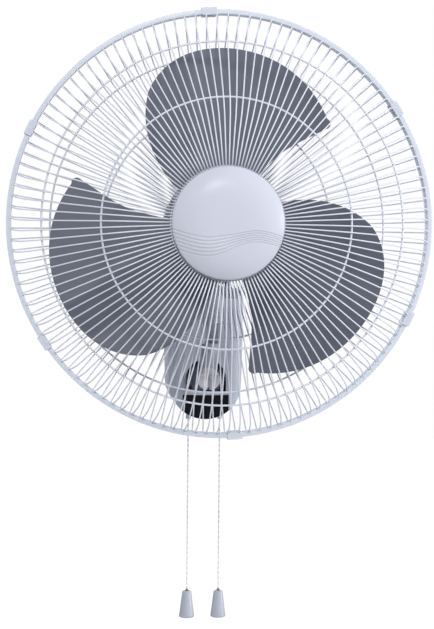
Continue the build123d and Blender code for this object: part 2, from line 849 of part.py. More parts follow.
with BuildPart() as fan_blade:
    with BuildSketch(fan.offset(hub_back)):
        Circle(hub_radius)
    extrude(amount=hub_front - hub_back)
    chamfer(fan_blade.edges().group_by(Axis.Y)[0], hub_bevel)
    with BuildSketch(fan.offset(hub_back)):
        Circle(hub_radius - hub_wall)
        Circle(2 * shaft_radius, mode=Mode.SUBTRACT)
    extrude(amount=hub_front - hub_back - 2 * hub_wall, mode=Mode.SUBTRACT)
    with BuildSketch(fan.offset(hub_back)):
        Circle(2 * shaft_radius)
    extrude(amount=hub_front - hub_back - hub_boss, mode=Mode.SUBTRACT)
    with BuildSketch(fan.offset(hub_back)):
        Circle(shaft_radius + running_gap / 2)
    extrude(amount=hub_front - hub_back, mode=Mode.SUBTRACT)
    with Locations(fan):
        with PolarLocations(0, blade_count):
            add(one_blade.part)
fan_blade.part.label = "fan_blade"
export_step(fan_blade.part, "parts/fan_blade.step")

with BuildPart() as blade_nut:
    with BuildSketch(fan.offset(hub_front + seat_gap)):
        RegularPolygon(nut_radius, 12)
    extrude(amount=nut_length - seat_gap)
    with BuildSketch(fan.offset(hub_front + seat_gap)):
        Circle(shaft_radius + running_gap)
    extrude(amount=nut_length - nut_cap, mode=Mode.SUBTRACT)
blade_nut.part.label = "blade_nut"
export_step(blade_nut.part, "parts/blade_nut.step")

# ---- cage: bent wires and welded rings, clamped together by the hoop ----

# Each wire's path as radius and distance in front of the parting plane, from the rim inwards.
rim_wire = hoop_radius - hoop_wall - 2.5 * seat_gap
plate_front = motor_face + seat_gap + centre_plate_thick - hoop_depth
front_path = [(rim_wire, rim_lift), (200, 21), (134, 55), (112, 64), (front_wire_start, front_plate_lift)]
rear_path = [(rim_wire, -rim_lift), (184, -33), (rear_wire_start, plate_front + wire_size / 2)]


def wire_cage(path, turn):
    """All the wires of one guard: the path's strip, turned round the axis."""
    with BuildPart() as one_wire:
        with BuildSketch(Plane.XZ):
            with BuildLine():
                middle = Polyline(*path)
            trace(middle, wire_size)
        extrude(amount=wire_size / 2, both=True)
    with BuildPart() as wires:
        with Locations(fan):
            with PolarLocations(0, wire_count, start_angle=180 / wire_count + turn):
                add(one_wire.part)
    return wires


def welded_rings(path, legs_and_radii, inwards):
    """Rings that lie flat on the given legs of the wires' path, on the side of the blades."""
    with BuildPart() as rings:
        for leg, radius in legs_and_radii:
            (r0, z0), (r1, z1) = path[leg], path[leg + 1]
            slope = atan2(z1 - z0, r1 - r0)
            lift = z0 + (radius - r0) * (z1 - z0) / (r1 - r0)
            away = inwards * ((wire_size + ring_size) / 2 + weld_gap)
            with BuildSketch(fan_section):
                with Locations((radius - away * sin(slope), lift + away * cos(slope))):
                    Rectangle(ring_size, ring_size, rotation=degrees(slope))
            revolve(axis=fan_axis)
    return rings


rear_guard_wires = wire_cage(rear_path, 0)
rear_guard_wires.part.label = "rear_guard_wires"
export_step(rear_guard_wires.part, "parts/rear_guard_wires.step")

rear_guard_rings = welded_rings(rear_path, [(1, rear_outer_ring), (1, rear_middle_ring)], -1)
rear_guard_rings.part.label = "rear_guard_rings"
export_step(rear_guard_rings.part, "parts/rear_guard_rings.step")

with BuildPart() as rear_guard_plate:
    with BuildSketch(along_fan(motor_face + seat_gap)):
        Circle(rear_plate_radius)
        Circle(collar_radius + seat_gap, mode=Mode.SUBTRACT)
    extrude(amount=centre_plate_thick)
rear_guard_plate.part.label = "rear_guard_plate"
export_step(rear_guard_plate.part, "parts/rear_guard_plate.step")

with BuildPart() as guard_nut:
    with BuildSketch(along_fan(motor_face + 2 * seat_gap + centre_plate_thick)):
        RegularPolygon(1.75 * collar_radius, 12)
        Circle(collar_radius + seat_gap, mode=Mode.SUBTRACT)
    extrude(amount=collar_length / 2)
guard_nut.part.label = "guard_nut"
export_step(guard_nut.part, "parts/guard_nut.step")

front_guard_wires = wire_cage(front_path, front_turn)
front_guard_wires.part.label = "front_guard_wires"
export_step(front_guard_wires.part, "parts/front_guard_wires.step")

front_guard_rings = welded_rings(front_path, [(1, front_outer_ring), (2, front_middle_ring)], 1)
front_guard_rings.part.label = "front_guard_rings"
export_step(front_guard_rings.part, "parts/front_guard_rings.step")

front_plate_top = front_plate_lift - wire_size / 2 - weld_gap

with BuildPart() as front_guard_plate:
    with BuildSketch(fan.offset(front_plate_top - centre_plate_thick)):
        Circle(front_plate_radius)
        Circle(cap_stem + seat_gap, mode=Mode.SUBTRACT)
    extrude(amount=centre_plate_thick)
front_guard_plate.part.label = "front_guard_plate"
export_step(front_guard_plate.part, "parts/front_guard_plate.step")

with BuildPart() as guard_hoop:
    with BuildSketch(fan_section):
        with Locations((hoop_radius, 0)):
            Rectangle(hoop_band, hoop_width, align=(Align.MAX, Align.CENTER))
        with Locations((hoop_radius - hoop_wall, 0)):
            Rectangle(
                hoop_band, hoop_width - 2 * hoop_wall, align=(Align.MAX, Align.CENTER), mode=Mode.SUBTRACT
            )
    revolve(axis=fan_axis)
guard_hoop.part.label = "guard_hoop"
export_step(guard_hoop.part, "parts/guard_hoop.step")

clip_outer = hoop_radius + seat_gap + clip_wall
clip_inner_width = hoop_width + 2 * seat_gap
clip_arc = degrees(clip_length / clip_outer)

with BuildPart() as guard_clips:
    for number in range(clip_count):
        clip_angle = clip_first + number * 360 / clip_count + clip_arc / 2
        clip_section = Plane(
            origin=fan.origin,
            x_dir=(cos(radians(clip_angle)), 0, sin(radians(clip_angle))),
            z_dir=(sin(radians(clip_angle)), 0, -cos(radians(clip_angle))),
        )
        with BuildSketch(clip_section):
            with Locations((clip_outer, 0)):
                Rectangle(
                    hoop_band + 2 * clip_wall,
                    clip_inner_width + 2 * clip_wall,
                    align=(Align.MAX, Align.CENTER),
                )
            with Locations((clip_outer - clip_wall, 0)):
                Rectangle(
                    2 * hoop_band, clip_inner_width, align=(Align.MAX, Align.CENTER), mode=Mode.SUBTRACT
                )
        revolve(axis=fan_axis, revolution_arc=-clip_arc)
guard_clips.part.label = "guard_clips"
export_step(guard_clips.part, "parts/guard_clips.step")

cap_back = front_plate_lift + wire_size / 2 + 2 * seat_gap
cap_top = cap_back + cap_rim + cap_dome

with BuildPart() as front_cap:
    with BuildSketch(fan_section):
        with BuildLine():
            Polyline(
                (0, cap_back),
                (cap_radius, cap_back),
                (cap_radius, cap_back + cap_rim),
                ((cap_radius + cap_flat) / 2 + cap_dome / 3, cap_top - cap_dome * 0.4),
                (cap_flat, cap_top),
                (0, cap_top),
                close=True,
            )
        make_face()
    revolve(axis=fan_axis)
    with BuildSketch(fan.offset(cap_back)):
        Circle(cap_radius - cap_wall)
    extrude(amount=cap_rim, mode=Mode.SUBTRACT)
    with BuildSketch(fan.offset(front_plate_top - centre_plate_thick - stem_tail)):
        Circle(cap_stem)
    extrude(amount=cap_top - front_plate_top + centre_plate_thick + stem_tail - cap_wall / 2)
front_cap.part.label = "front_cap"
export_step(front_cap.part, "parts/front_cap.step")

# ---- electrics in the base ----

switch_high = -tilt_drop + switch_height / 2 + lever_width
lever_end = -bush_low - bush_length - pull_travel - 1  # its foot below the wall screws
lever_x = cheek_outer + seat_gap + lever_out
lever_y = -switch_back - switch_depth + lever_thick + lever_gap + lever_width / 2


def pull_switch(side):
    """The body of one pull switch, against the bracket's cheek, with the lever's slot."""
    with BuildPart() as body:
        with BuildSketch(at_height(switch_high)):
            with Locations((side * (cheek_outer + seat_gap + switch_width / 2), -switch_back)):
                Rectangle(switch_width, switch_depth, align=(Align.CENTER, Align.MAX))
        extrude(amount=-switch_height)
        with BuildSketch(at_height(switch_high - switch_height)):
            with Locations((side * lever_x, lever_y)):
                Rectangle(lever_thick + 2 * lever_gap, lever_width + 2 * lever_gap)
        extrude(amount=switch_height * lever_share + pull_travel / 2, mode=Mode.SUBTRACT)
    return body


def pull_lever(side):
    """The sliding lever of one switch, with the foot that the cord hangs from."""
    with BuildPart() as lever:
        with BuildSketch(at_height(-lever_end)):
            with Locations((side * lever_x, lever_y)):
                Rectangle(lever_thick, lever_width)
        extrude(amount=lever_end + switch_high - switch_height * (1 - lever_share))
        with BuildSketch(at_height(-lever_end)):
            with Locations((side * lever_x, lever_y)):
                Circle(lever_width / 2 + 0.5)
            with Locations((side * cord_half, -cord_depth)):
                Circle(lever_width / 2 + 1)
            make_hull()
        extrude(amount=lever_thick)
    return lever


def pull_cord(side):
    """The straight hanging cord, from the lever's foot down to the bell."""
    with BuildPart() as cord:
        with BuildSketch(at_height(hub_height - bell_top_drop + bell_knot)):
            with Locations((side * cord_half, -cord_depth)):
                Circle(cord_radius)
        extrude(amount=-lever_end - hub_height + bell_top_drop - bell_knot)
    return cord


def pull_bell(side):
    """The moulded bell at the cord's end, with the knot that it hangs by."""
    top = hub_height - bell_top_drop
    with BuildPart() as bell:
        with BuildSketch(at_height(top - bell_height)):
            with Locations((side * cord_half, -cord_depth)):
                RegularPolygon(bell_foot_radius, bell_faces)
        extrude(amount=bell_height, taper=degrees(atan2(bell_foot_radius - bell_top_radius, bell_height)))
        with BuildSketch(at_height(top)):
            with Locations((side * cord_half, -cord_depth)):
                Circle(2 * cord_radius)
        extrude(amount=bell_knot)
    return bell


speed_switch = pull_switch(1)
speed_switch.part.label = "speed_switch"
export_step(speed_switch.part, "parts/speed_switch.step")

speed_lever = pull_lever(1)
speed_lever.part.label = "speed_lever"
export_step(speed_lever.part, "parts/speed_lever.step")

speed_cord = pull_cord(1)
speed_cord.part.label = "speed_cord"
export_step(speed_cord.part, "parts/speed_cord.step")

speed_bell = pull_bell(1)
speed_bell.part.label = "speed_bell"
export_step(speed_bell.part, "parts/speed_bell.step")

swing_switch = pull_switch(-1)
swing_switch.part.label = "swing_switch"
export_step(swing_switch.part, "parts/swing_switch.step")

swing_lever = pull_lever(-1)
swing_lever.part.label = "swing_lever"
export_step(swing_lever.part, "parts/swing_lever.step")

swing_cord = pull_cord(-1)
swing_cord.part.label = "swing_cord"
export_step(swing_cord.part, "parts/swing_cord.step")

swing_bell = pull_bell(-1)
swing_bell.part.label = "swing_bell"
export_step(swing_bell.part, "parts/swing_bell.step")

with BuildPart() as capacitor:
    with BuildSketch(from_wall(inner_back)):
        with Locations((0, capacitor_rise)):
            RectangleRounded(capacitor_width, capacitor_height, capacitor_height / 6)
    extrude(amount=capacitor_length)
capacitor.part.label = "capacitor"
export_step(capacitor.part, "parts/capacitor.step")

with BuildPart() as terminal_block:
    with BuildSketch(from_wall(inner_back)):
        with Locations((0, -block_drop)):
            Rectangle(block_width, block_height)
    extrude(amount=block_depth)
    with BuildSketch(from_wall(inner_back + block_depth)):
        with Locations((0, -block_drop)):
            Rectangle(block_width, block_height / 2)
    extrude(amount=block_ridge)
    with BuildSketch(from_wall(inner_back + block_depth + block_ridge)):
        with Locations((0, -block_drop)):
            with GridLocations(block_width / block_ways, 1, block_ways, 1):
                Rectangle(block_height / 4, block_height / 4)
    extrude(amount=-block_ridge * 0.75, mode=Mode.SUBTRACT)
terminal_block.part.label = "terminal_block"
export_step(terminal_block.part, "parts/terminal_block.step")
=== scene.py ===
import json
from math import cos, pi, radians, sin

import bmesh
import bpy
from mathutils import Matrix, Vector

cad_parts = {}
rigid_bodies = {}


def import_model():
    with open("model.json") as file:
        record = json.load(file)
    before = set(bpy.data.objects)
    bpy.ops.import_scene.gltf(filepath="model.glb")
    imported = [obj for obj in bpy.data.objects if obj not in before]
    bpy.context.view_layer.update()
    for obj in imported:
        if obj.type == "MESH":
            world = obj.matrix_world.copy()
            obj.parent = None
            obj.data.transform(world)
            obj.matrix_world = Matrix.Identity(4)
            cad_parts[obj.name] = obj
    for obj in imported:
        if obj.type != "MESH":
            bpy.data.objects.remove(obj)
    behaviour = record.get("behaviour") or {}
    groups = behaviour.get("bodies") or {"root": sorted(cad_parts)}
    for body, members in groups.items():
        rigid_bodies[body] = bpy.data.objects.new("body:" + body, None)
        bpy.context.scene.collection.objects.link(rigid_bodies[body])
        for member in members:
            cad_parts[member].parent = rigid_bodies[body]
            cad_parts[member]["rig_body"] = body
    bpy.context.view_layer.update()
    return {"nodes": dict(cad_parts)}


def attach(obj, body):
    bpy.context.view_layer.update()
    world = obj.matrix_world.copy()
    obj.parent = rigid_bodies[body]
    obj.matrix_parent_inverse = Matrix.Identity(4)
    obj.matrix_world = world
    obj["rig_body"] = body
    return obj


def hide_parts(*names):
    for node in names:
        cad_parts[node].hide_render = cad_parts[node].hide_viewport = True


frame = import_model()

# ---- camera ----
# It stands 1.5 m from the hub, 6 degrees to the left of the fan's axis and 39 mm below it, and is
# tipped slightly down.
hub = Vector((0, -0.240, 0.130))
camera_reach, camera_turn, camera_drop = 1.5, radians(6), 0.039
eye = bpy.data.cameras.new("eye")
eye.lens = 82.5
eye.sensor_width = 36
eye.clip_end = 50
camera = bpy.data.objects.new("camera", eye)
bpy.context.scene.collection.objects.link(camera)
camera.location = hub + Vector(
    (-camera_reach * sin(camera_turn), -camera_reach * cos(camera_turn), -camera_drop)
)
camera.rotation_euler = (radians(87.93), radians(-0.54), radians(-5.83))
bpy.context.scene.camera = camera

# ---- pull cords ----
# Two cords of 2 mm hang straight down from the switch levers inside the base, each to the knot of
# its bell. Each is two strands of thin white fibre laid round each other, limp, and held only at
# the top.
cord_depth = -0.064
cord_top = -0.069
knot_top = -0.2902
strand_radius = 0.0005
strand_turn = 0.012


def sums(tree):
    """A short way to write a Math node: operation, then numbers or sockets."""

    def count(operation, *given):
        step = tree.nodes.new("ShaderNodeMath")
        step.operation = operation
        for socket, value in zip(step.inputs, given):
            if isinstance(value, (int, float)):
                socket.default_value = value
            else:
                tree.links.new(value, socket)
        return step.outputs[0]

    return count


def moulding_skin():
    """Slow change of tone and of gloss over a moulded or painted surface, and a fine grain."""
    made = bpy.data.node_groups.get("moulding_skin")
    if made:
        return made
    made = bpy.data.node_groups.new("moulding_skin", "ShaderNodeTree")
    colour, number = "NodeSocketColor", "NodeSocketFloat"
    for title, kind in (("Tone", colour), ("Change", number), ("Size", number), ("Gloss", number)):
        made.interface.new_socket(name=title, in_out="INPUT", socket_type=kind)
    for title, kind in (("Tone", colour), ("Roughness", number), ("Grain", number)):
        made.interface.new_socket(name=title, in_out="OUTPUT", socket_type=kind)
    node, link, count = made.nodes.new, made.links.new, sums(made)
    given, out = node("NodeGroupInput"), node("NodeGroupOutput")
    place = node("ShaderNodeTexCoord")
    cloud, grain = node("ShaderNodeTexNoise"), node("ShaderNodeTexNoise")
    cloud.inputs["Detail"].default_value = 3
    grain.inputs["Scale"].default_value = 900
    link(place.outputs["Object"], cloud.inputs["Vector"])
    link(place.outputs["Object"], grain.inputs["Vector"])
    link(given.outputs["Size"], cloud.inputs["Scale"])
    lean = count("SUBTRACT", cloud.outputs["Fac"], 0.5)
    shade = node("ShaderNodeVectorMath")
    shade.operation = "SCALE"
    link(given.outputs["Tone"], shade.inputs[0])
    link(count("MULTIPLY_ADD", lean, given.outputs["Change"], 1), shade.inputs["Scale"])
    link(shade.outputs[0], out.inputs["Tone"])
    link(count("MULTIPLY_ADD", lean, 0.12, given.outputs["Gloss"]), out.inputs["Roughness"])
    link(grain.outputs["Fac"], out.inputs["Grain"])
    return made


def surface(title, tone, gloss, metal=0.0, change=0.05, size=25, grain=0.0, shine=0.5, cover=1.0):
    """A material of one tone, with the moulding skin over it and its grain as a bump if asked."""
    made = bpy.data.materials.new(title)
    made.use_nodes = True
    tree = made.node_tree
    shader = tree.nodes["Principled BSDF"]
    skin = tree.nodes.new("ShaderNodeGroup")
    skin.node_tree = moulding_skin()
    skin.inputs["Tone"].default_value = (*tone, 1)
    skin.inputs["Change"].default_value = change
    skin.inputs["Size"].default_value = size
    skin.inputs["Gloss"].default_value = gloss
    tree.links.new(skin.outputs["Tone"], shader.inputs["Base Color"])
    tree.links.new(skin.outputs["Roughness"], shader.inputs["Roughness"])
    shader.inputs["Metallic"].default_value = metal
    shader.inputs["Specular IOR Level"].default_value = shine
    shader.inputs["Alpha"].default_value = cover
    if grain:
        bump = tree.nodes.new("ShaderNodeBump")
        bump.inputs["Strength"].default_value = grain
        bump.inputs["Distance"].default_value = 0.0002
        tree.links.new(skin.outputs["Grain"], bump.inputs["Height"])
        tree.links.new(bump.outputs["Normal"], shader.inputs["Normal"])
    return made


def curve_of(title, runs, closeness):
    """An open NURBS curve along the given runs of control points."""
    line = bpy.data.curves.new(title, "CURVE")
    line.dimensions = "3D"
    line.resolution_u = closeness
    for points in runs:
        run = line.splines.new("NURBS")
        run.points.add(len(points) - 1)
        for point, place in zip(run.points, points):
            point.co = (*place, 1)
        run.order_u = 3
        run.use_endpoint_u = True
    return line


def mesh_of(line):
    """The mesh that a curve gives, read through an object that is then removed."""
    holder = bpy.data.objects.new("holder", line)
    bpy.context.scene.collection.objects.link(holder)
    bpy.context.view_layer.update()
    graph = bpy.context.evaluated_depsgraph_get()
    mesh = bpy.data.meshes.new_from_object(holder.evaluated_get(graph))
    bpy.data.objects.remove(holder)
    return mesh


def shown(mesh, title, *finishes):
    """A new object at the origin for a finished mesh."""
    for finish in finishes:
        mesh.materials.append(finish)
    made = bpy.data.objects.new(title, mesh)
    bpy.context.scene.collection.objects.link(made)
    return made


cord_fibre = surface(
    "cord_fibre", (0.80, 0.80, 0.83), 0.8, change=0.25, size=900, grain=0.6, shine=0.2
)


def hang_cord(title, x):
    """Two strands laid round the straight route from the lever to the knot."""
    route = [(x, cord_depth, z) for z in (cord_top, -0.120, -0.180, -0.240, knot_top)]
    path = [v.co.copy() for v in mesh_of(curve_of("guide", [route], 60)).vertices]
    strands = []
    for start in (0, pi):
        strand = []
        for spot in path:
            turn = start + 2 * pi * (cord_top - spot.z) / strand_turn
            strand.append(spot + strand_radius * Vector((cos(turn), sin(turn), 0)))
        strands.append(strand)
    line = curve_of(title, strands, 1)
    line.bevel_depth = strand_radius
    line.bevel_resolution = 1
    line.use_fill_caps = True
    mesh = mesh_of(line)
    mesh.name = title
    mesh.materials.clear()
    mesh.shade_smooth()
    return shown(mesh, title, cord_fibre), path


# ---- bells ----
# A small moulded cone of grey plastic closes on the knot at each cord's end. Its foot is rounded
# over, and the knot stands out of its crown.
cord_aside = 0.0184
bell_crown = -0.2932
knot_foot = bell_crown + 0.0004
bell_plastic = surface("bell_plastic", (0.43, 0.46, 0.53), 0.3, change=0.06, size=60, shine=0.3)
knot_grey = surface(
    "knot_grey", (0.17, 0.18, 0.20), 0.6, change=0.3, size=900, grain=0.6, shine=0.3
)


def mesh_from(form, title):
    """A mesh with what the bmesh holds, which is then freed."""
    mesh = bpy.data.meshes.new(title)
    form.to_mesh(mesh)
    form.free()
    return mesh


def turned(title, section, centre, axis, steps, *finishes, closed=False):
    """A half section of (radius, height) points spun round an axis; smooth but for its corners."""
    form = bmesh.new()
    up = Vector(axis)
    out = up.orthogonal().normalized()
    rim = [form.verts.new(Vector(centre) + out * r + up * h) for r, h in section]
    edges = [form.edges.new(pair) for pair in zip(rim, rim[1:])]
    if closed:
        edges.append(form.edges.new((rim[-1], rim[0])))
    bmesh.ops.spin(
        form, geom=rim + edges, cent=centre, axis=axis, angle=2 * pi, steps=steps, use_merge=True
    )
    bmesh.ops.remove_doubles(form, verts=form.verts, dist=1e-6)
    bmesh.ops.recalc_face_normals(form, faces=form.faces)
    mesh = mesh_from(form, title)
    mesh.shade_smooth()
    mesh.set_sharp_from_angle(angle=radians(32))
    return shown(mesh, title, *finishes)


bell_section = [
    (0, 0.0030), (0.0008, 0.0030), (0.0012, 0.0024), (0.0019, 0.0008), (0.0032, 0.0003),
    (0.0046, 0), (0.0051, -0.0003), (0.0054, -0.0010), (0.0088, -0.0284), (0.00895, -0.0290),
    (0.0088, -0.0297), (0.0083, -0.0303), (0, -0.0305),
]
for side, pull in ((1, "speed"), (-1, "swing")):
    bell = turned(
        pull + "_bell_turned", bell_section, (side * cord_aside, cord_depth, bell_crown),
        (0, 0, 1), 40, bell_plastic, knot_grey,
    )
    for face in bell.data.polygons:
        face.material_index = int(face.center.z > knot_foot)
    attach(bell, pull + "_pull")
    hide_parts(pull + "_bell")
    string, string_path = hang_cord(pull + "_string", side * cord_aside)
    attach(string, pull + "_pull")
    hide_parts(pull + "_cord")

# ---- base ----
# The housing is one glossy moulding in light lavender grey, rounded at its edges, with a window
# for the knuckle. Screws through the back cover hold it.
lavender = surface("lavender_gloss", (0.54, 0.58, 0.66), 0.42, change=0.05, size=14, shine=0.15)


def dressed(node, finish, bevel=0.0):
    """A merged copy of a CAD node, smooth over its curves, with softened edges if asked."""
    source = frame["nodes"][node]
    form = bmesh.new()
    form.from_mesh(source.data)
    bmesh.ops.remove_doubles(form, verts=form.verts, dist=2e-6)
    mesh = mesh_from(form, node + "_dressed")
    mesh.shade_smooth()
    mesh.set_sharp_from_angle(angle=radians(28))
    made = shown(mesh, node + "_dressed", finish)
    if bevel:
        soft = made.modifiers.new("soft_edges", "BEVEL")
        soft.width = bevel
        soft.segments = 2
        soft.limit_method = "ANGLE"
        soft.angle_limit = radians(40)
        soft.harden_normals = True
        soft.use_clamp_overlap = True
    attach(made, source["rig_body"])
    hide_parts(node)
    return made


housing = dressed("base_housing", lavender, bevel=0.0007)

# ---- window sill ----
# The housing's front carries on as a narrow bar between the knuckle's window and the black trim.
# It is moulded with the housing, so it joins the housing's mesh.
drum_centre = Vector((0, -0.066, -0.044))
sill_top, sill_foot = -0.0576, -0.0624
sill_face, sill_thick = -0.08198, 0.0029
sill_radius = 0.0235
form = bmesh.new()
bmesh.ops.create_circle(
    form, cap_ends=True, segments=96, radius=sill_radius,
    matrix=Matrix.Translation((0, sill_face, drum_centre.z)) @ Matrix.Rotation(pi / 2, 4, "X"),
)
for height, way in ((sill_top, 1), (sill_foot, -1)):
    bmesh.ops.bisect_plane(
        form, geom=form.verts[:] + form.edges[:] + form.faces[:], dist=1e-7,
        plane_co=(0, 0, height), plane_no=(0, 0, way), clear_outer=True,
    )
grown = bmesh.ops.extrude_face_region(form, geom=form.faces[:])["geom"]
inner = [part for part in grown if isinstance(part, bmesh.types.BMVert)]
bmesh.ops.translate(form, vec=(0, sill_thick, 0), verts=inner)
bmesh.ops.recalc_face_normals(form, faces=form.faces)
sill = mesh_from(form, "window_sill")
form = bmesh.new()
form.from_mesh(housing.data)
form.from_mesh(sill)
form.to_mesh(housing.data)
form.free()

# ---- back cover, wall plate and tilt bracket ----
# The cover is moulded like the housing and hooks over the pressed steel wall plate. The plate,
# the screws and the bolt are zinc plated, and the channel that holds the knuckle is painted
# dark navy as painted shade at the window's sides.
zinc = surface("zinc_plate", (0.34, 0.35, 0.38), 0.52, metal=1.0, change=0.22, size=140, grain=0.2)
# painted shade: the tilt bracket's dark navy stands for the shade at the sides of the window
bracket_shade = surface("bracket_painted_shade", (0.11, 0.13, 0.18), 0.45, change=0.2, size=90, grain=0.2)
dressed("base_back", lavender)
for node in ("wall_plate", "back_screws", "tilt_bolt", "tilt_nut"):
    dressed(node, zinc)
dressed("tilt_bracket", bracket_shade)

# ---- trim, bushes, gland, levers and crank ----
# A gloss black insert closes the front below the window. Bushes in the housing's colour line the
# holes of the cords, a black gland that of the mains lead, and the switch levers and the swing
# motor's crank are moulded in the same black.
black_gloss = surface("black_gloss", (0.006, 0.006, 0.009), 0.35, change=0.1, size=40, shine=0.12)
dressed("cord_bushes", lavender)
for node in ("lower_trim", "mains_gland", "speed_lever", "swing_lever", "swing_crank"):
    dressed(node, black_gloss)

# ---- switches, capacitor, terminals and nuts ----
# Plain engineering mouldings in satin off white. The first four are screwed down inside the base;
# the two nuts clamp the blades on the shaft and the rear guard on the motor's collar.
satin = surface("satin_white", (0.58, 0.59, 0.60), 0.5, change=0.06, size=50, grain=0.3)
for node in (
    "speed_switch", "swing_switch", "capacitor", "terminal_block", "blade_nut", "guard_nut",
):
    dressed(node, satin)

# ---- neck and swing drive ----
# A hollow casting whose enamel is the housing's colour painted darker, as painted shade from the
# head above it; a pale disc on the knuckle's front is a painted highlight, and its drum is painted
# dark navy as painted shade. Its grooved drum turns on the tilt bolt, and its arm rises to a boss
# with a sintered bronze bush. Pin, link, bracket, clip and the swing motor's can are zinc plated
# steel.
bronze = surface("bronze", (0.45, 0.28, 0.11), 0.42, metal=1.0, change=0.25, size=900, grain=0.5)
# painted shade: dark navy on the knuckle's drum stands for the shade at the window's sides
drum_shade = surface("drum_painted_shade", (0.10, 0.12, 0.17), 0.4, change=0.12, size=60, shine=0.3)
# painted shade: the arm's enamel is the housing's lavender made darker, for the head's shadow on
# it
arm_enamel_painted_light = surface(
    "arm_enamel_painted_light", (0.40, 0.43, 0.50), 0.38, change=0.05, size=30, shine=0.25
)
drum_shade_radius = 0.0181
# centre and size of the knuckle's painted highlight disc
highlight_disc_x, highlight_disc_z, highlight_disc_radius = -0.0010, -0.041, 0.0136


def paint_knuckle_highlight(finish):
    """A painted highlight: a pale round face painted on the front of the knuckle, over the enamel.
    """
    tree = finish.node_tree
    node, link, count = tree.nodes.new, tree.links.new, sums(tree)
    place, split = node("ShaderNodeTexCoord"), node("ShaderNodeSeparateXYZ")
    link(place.outputs["Object"], split.inputs[0])
    aside = count("SUBTRACT", split.outputs["X"], highlight_disc_x)
    rise = count("SUBTRACT", split.outputs["Z"], highlight_disc_z)
    out = count("SQRT", count("ADD", count("POWER", aside, 2.0), count("POWER", rise, 2.0)))
    skin = next(n for n in tree.nodes if n.type == "GROUP")
    # the Mix node takes its two colours in at sockets 6 and 7 and gives one out at 2
    two = node("ShaderNodeMix")
    two.data_type = "RGBA"
    link(count("LESS_THAN", out, highlight_disc_radius), two.inputs["Factor"])
    link(skin.outputs["Tone"], two.inputs[6])
    # painted highlight: the pale colour of the knuckle's lit front
    two.inputs[7].default_value = (0.60, 0.585, 0.61, 1)
    link(two.outputs[2], tree.nodes["Principled BSDF"].inputs["Base Color"])


paint_knuckle_highlight(arm_enamel_painted_light)
arm = dressed("neck_arm", arm_enamel_painted_light)
arm.data.materials.append(drum_shade)
# painted shade: the drum's faces take the dark navy
for face in arm.data.polygons:
    offsets = [arm.data.vertices[v].co - drum_centre for v in face.vertices]
    if all(offset.yz.length < drum_shade_radius for offset in offsets):
        face.material_index = 1
dressed("neck_bush", bronze)
for node in ("link_pin", "swing_link", "swing_bracket", "spindle_clip", "swing_motor"):
    dressed(node, zinc)

# ---- motor ----
# Two drawn aluminium shells clamp the stack of steel sheets with its copper windings. The front
# one is enamelled and carries the collar for the cage; a moulded cover with slots slips over the
# rear one.
enamel = surface("enamel", (0.53, 0.56, 0.65), 0.38, change=0.05, size=30, shine=0.3)
bare_aluminium = surface(
    "bare_aluminium", (0.60, 0.60, 0.61), 0.45, metal=1.0, change=0.12, size=90
)
laminations = surface("laminations", (0.16, 0.16, 0.17), 0.5, metal=1.0, change=0.3, size=300)
copper = surface("copper_winding", (0.50, 0.18, 0.06), 0.4, metal=1.0, change=0.3, size=400)
ground_steel = surface("ground_steel", (0.58, 0.58, 0.60), 0.25, metal=1.0, change=0.1, size=200)


def banded(finish, per_metre, depth, along):
    """Fine parallel bands over a finish, as stacked sheets or wound wire show them.

    The wave texture has 20 / (2 pi) bands in a metre at a scale of 1.
    """
    tree = finish.node_tree
    node, link = tree.nodes.new, tree.links.new
    place, turn = node("ShaderNodeTexCoord"), node("ShaderNodeMapping")
    turn.inputs["Rotation"].default_value = along
    bands = node("ShaderNodeTexWave")
    bands.bands_direction = "Y"
    bands.inputs["Scale"].default_value = per_metre / 20 * 2 * pi
    bands.inputs["Distortion"].default_value = 0.4
    link(place.outputs["Object"], turn.inputs["Vector"])
    link(turn.outputs["Vector"], bands.inputs["Vector"])
    bump = node("ShaderNodeBump")
    bump.inputs["Strength"].default_value = 0.6
    bump.inputs["Distance"].default_value = depth
    link(bands.outputs["Fac"], bump.inputs["Height"])
    link(bump.outputs["Normal"], tree.nodes["Principled BSDF"].inputs["Normal"])


banded(laminations, 1000, 0.0001, (0, 0, 0))
banded(copper, 800, 0.0002, (0, 0, 0.9))
banded(bare_aluminium, 2500, 0.00003, (0, 0, 0))
dressed("motor_front_shell", enamel)
dressed("motor_cover", lavender)
dressed("motor_rear_shell", bare_aluminium)
for node in ("stator_core", "rotor_core"):
    dressed(node, laminations)
dressed("stator_coils", copper)
for node in ("front_bearing", "rear_bearing"):
    dressed(node, bronze)
dressed("motor_shaft", ground_steel)

# ---- blades ----
# Hub and three broad blades come out of one mould, in smoky grey plastic that lets a little
# light through. The edges are rounded over.
smoke = surface(
    "smoke_plastic", (0.128, 0.139, 0.176), 0.45, change=0.05, size=12, shine=0.3, cover=0.94
)
dressed("fan_blade", smoke, bevel=0.0007)

# ---- cage wires ----
# Each guard is 120 spokes of 1.5 mm steel wire, bent on a former and welded to rings and to a
# plate in the middle, then powder coated white. Both rims end inside the hoop.
white_wire = surface("white_wire", (0.68, 0.70, 0.78), 0.35, change=0.04, size=60, shine=0.4)
wire_count = 120
wire_sides = 6
wire_radius = 0.00075
ring_wire_radius = 0.0010
fan_axis = Vector((0, -1, 0))


